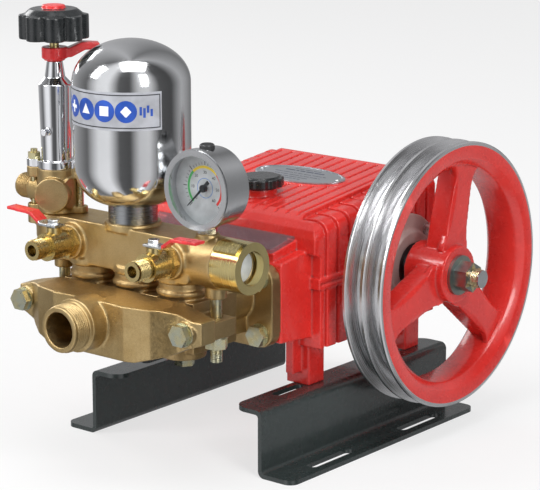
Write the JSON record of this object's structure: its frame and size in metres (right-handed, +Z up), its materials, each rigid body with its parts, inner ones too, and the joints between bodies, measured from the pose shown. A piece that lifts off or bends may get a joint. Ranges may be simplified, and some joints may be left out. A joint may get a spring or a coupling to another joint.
{
  "type": "pressure washer pump",
  "caption": "Belt-driven horizontal triplex plunger pump: red finned crankcase on rails, grooved pulley, brass head, air chamber, gauge and regulator.",
  "frame": {"origin": "on the floor, midway between the two rails and at the middle of their length", "axes": "+Z up, +X towards the pulley, -Y towards the brass head"},
  "size_m": [0.3185, 0.466, 0.398],
  "materials": {
    "rail_paint": "gloss green-black paint on pressed steel",
    "red_paint": "gloss red enamel over cast iron",
    "zinc": "yellow-green passivated zinc plate",
    "cast_cover": "sand-cast aluminium, lightly painted",
    "cast_aluminium": "die-cast aluminium",
    "bright_steel": "ground bright steel",
    "dark_steel": "dark turned steel",
    "black_rubber": "matt nitrile rubber",
    "clear_plastic": "clear moulded acrylic",
    "clear_glass": "clear glass",
    "plate_aluminium": "satin anodised plate",
    "cast_brass": "sand-cast brass, grainy and dull",
    "turned_brass": "turned brass, bright with fine lines",
    "stainless": "polished stainless steel",
    "chrome": "bright chrome plate",
    "dial_white": "white printed dial",
    "pointer_black": "matt black paint",
    "lever_red": "red dipped vinyl over steel",
    "black_plastic": "black moulded phenolic"
  },
  "bodies": {
    "root": {"left_rail": "rail_paint", "right_rail": "rail_paint", "hex_bolts_m10": "zinc", "crankcase": "red_paint", "rear_cover": "red_paint", "cover_bolts": "zinc", "bearing_cover_right": "cast_cover", "bearing_cover_left": "cast_cover", "bearing_outer_rings": "bright_steel", "oil_seals": "black_rubber", "oil_level_glass": "clear_plastic", "drain_plug": "zinc", "plunger_window": "clear_plastic", "nameplate": "plate_aluminium", "cylinder_block": "cast_brass", "suction_manifold": "cast_brass", "discharge_manifold": "cast_brass", "manifold_studs": "zinc", "plunger_packings": "black_rubber", "gland_nuts": "turned_brass", "valve_seats": "bright_steel", "air_chamber": "stainless", "chamber_collar": "dark_steel", "gauge_case": "stainless", "gauge_bezel": "stainless", "gauge_dial": "dial_white", "gauge_lens": "clear_glass", "sight_glass_nut": "turned_brass", "sight_glass_lens": "clear_glass", "tap_bodies": "turned_brass", "regulator_body": "cast_brass", "regulator_studs": "zinc", "regulator_barrel": "chrome", "regulator_spring": "bright_steel"},
    "crank": {"crankshaft": "bright_steel", "drive_pulley": "red_paint", "pulley_nut": "zinc"},
    "bearing_balls": {"bearing_balls": "bright_steel"},
    "gauge_pointer": {"gauge_pointer": "pointer_black"},
    "tap_lever_left": {"tap_lever_left": "lever_red"},
    "tap_lever_right": {"tap_lever_right": "lever_red"},
    "regulator_valve": {"regulator_valve": "bright_steel"},
    "spring_seat": {"spring_seat": "turned_brass"},
    "pressure_knob": {"pressure_knob": "black_plastic"},
    "release_lever": {"release_lever": "lever_red"},
    "cap_gasket": {"cap_gasket": "black_rubber"},
    "oil_filler_cap": {"oil_filler_cap": "black_plastic", "filler_cap_plug": "black_plastic"},
    "conrod_1": {"conrod_1": "cast_aluminium"},
    "plunger_1": {"plunger_1": "bright_steel"},
    "suction_valve_1": {"suction_valve_1": "bright_steel"},
    "discharge_valve_1": {"discharge_valve_1": "bright_steel"},
    "conrod_2": {"conrod_2": "cast_aluminium"},
    "plunger_2": {"plunger_2": "bright_steel"},
    "suction_valve_2": {"suction_valve_2": "bright_steel"},
    "discharge_valve_2": {"discharge_valve_2": "bright_steel"},
    "conrod_3": {"conrod_3": "cast_aluminium"},
    "plunger_3": {"plunger_3": "bright_steel"},
    "suction_valve_3": {"suction_valve_3": "bright_steel"},
    "discharge_valve_3": {"discharge_valve_3": "bright_steel"}
  },
  "joints": [
    {"name": "crankshaft_spin", "type": "hinge", "parent": "root", "child": "crank", "pos_m": [0, 0.066, 0.15], "axis": [1, 0, 0], "continuous": true},
    {"name": "bearing_ball_spin", "type": "hinge", "parent": "root", "child": "bearing_balls", "pos_m": [0, 0.066, 0.15], "axis": [1, 0, 0], "continuous": true},
    {"name": "conrod_1_swing", "type": "hinge", "parent": "crank", "child": "conrod_1", "pos_m": [-0.05, 0.058, 0.15], "axis": [1, 0, 0], "continuous": true},
    {"name": "conrod_2_swing", "type": "hinge", "parent": "crank", "child": "conrod_2", "pos_m": [0, 0.07, 0.15693], "axis": [1, 0, 0], "continuous": true},
    {"name": "conrod_3_swing", "type": "hinge", "parent": "crank", "child": "conrod_3", "pos_m": [0.05, 0.07, 0.14307], "axis": [1, 0, 0], "continuous": true},
    {"name": "plunger_1_stroke", "type": "slide", "parent": "root", "child": "plunger_1", "axis": [0, 1, 0], "range_m": [0, 0.016]},
    {"name": "plunger_2_stroke", "type": "slide", "parent": "root", "child": "plunger_2", "axis": [0, 1, 0], "range_m": [-0.012, 0.004]},
    {"name": "plunger_3_stroke", "type": "slide", "parent": "root", "child": "plunger_3", "axis": [0, 1, 0], "range_m": [-0.012, 0.004]},
    {"name": "suction_valve_1_lift", "type": "slide", "parent": "root", "child": "suction_valve_1", "axis": [0, 0, 1], "range_m": [0, 0.003], "stiffness_N_per_m": 400},
    {"name": "suction_valve_2_lift", "type": "slide", "parent": "root", "child": "suction_valve_2", "axis": [0, 0, 1], "range_m": [0, 0.003], "stiffness_N_per_m": 400},
    {"name": "suction_valve_3_lift", "type": "slide", "parent": "root", "child": "suction_valve_3", "axis": [0, 0, 1], "range_m": [0, 0.003], "stiffness_N_per_m": 400},
    {"name": "discharge_valve_1_lift", "type": "slide", "parent": "root", "child": "discharge_valve_1", "axis": [0, 0, 1], "range_m": [0, 0.003], "stiffness_N_per_m": 400},
    {"name": "discharge_valve_2_lift", "type": "slide", "parent": "root", "child": "discharge_valve_2", "axis": [0, 0, 1], "range_m": [0, 0.003], "stiffness_N_per_m": 400},
    {"name": "discharge_valve_3_lift", "type": "slide", "parent": "root", "child": "discharge_valve_3", "axis": [0, 0, 1], "range_m": [0, 0.003], "stiffness_N_per_m": 400},
    {"name": "gauge_pointer_swing", "type": "hinge", "parent": "root", "child": "gauge_pointer", "pos_m": [0.08, -0.189, 0.261], "axis": [0, 1, 0], "range_deg": [0, 270], "stiffness_Nm_per_rad": 0.001},
    {"name": "tap_left_turn", "type": "hinge", "parent": "root", "child": "tap_lever_left", "pos_m": [-0.057, -0.225, 0.199], "axis": [0, 0, 1], "range_deg": [0, 90]},
    {"name": "tap_right_turn", "type": "hinge", "parent": "root", "child": "tap_lever_right", "pos_m": [0.057, -0.225, 0.199], "axis": [0, 0, 1], "range_deg": [-90, 0]},
    {"name": "regulator_valve_lift", "type": "slide", "parent": "root", "child": "regulator_valve", "axis": [0, 0, 1], "range_m": [0, 0.003], "stiffness_N_per_m": 2000},
    {"name": "spring_seat_travel", "type": "slide", "parent": "root", "child": "spring_seat", "axis": [0, 0, -1], "range_m": [-0.0025, 0.0025], "deforming": ["regulator_spring"]},
    {"name": "pressure_knob_turn", "type": "hinge", "parent": "spring_seat", "child": "pressure_knob", "pos_m": [-0.088, -0.188, 0.38], "axis": [0, 0, -1], "range_deg": [-720, 720]},
    {"name": "release_lever_swing", "type": "hinge", "parent": "root", "child": "release_lever", "pos_m": [-0.088, -0.188, 0.356], "axis": [0, 0, 1], "range_deg": [0, 90]},
    {"name": "cap_rise", "type": "slide", "parent": "root", "child": "cap_gasket", "axis": [0, 0, 1], "range_m": [0, 0.018]},
    {"name": "oil_filler_cap_turn", "type": "hinge", "parent": "cap_gasket", "child": "oil_filler_cap", "pos_m": [0.002, -0.02, 0.228], "axis": [0, 0, 1], "range_deg": [0, 2160]}
  ],
  "couplings": [
    {"joint": "bearing_ball_spin", "follows": "crankshaft_spin", "ratio": 0.43},
    {"joint": "conrod_1_swing", "follows": "crankshaft_spin", "ratio": -1},
    {"joint": "conrod_2_swing", "follows": "crankshaft_spin", "ratio": -1},
    {"joint": "conrod_3_swing", "follows": "crankshaft_spin", "ratio": -1},
    {"joint": "pressure_knob_turn", "follows": "spring_seat_travel", "rad_per_m": 5026.5},
    {"joint": "oil_filler_cap_turn", "follows": "cap_rise", "rad_per_m": 2094.4}
  ]
}
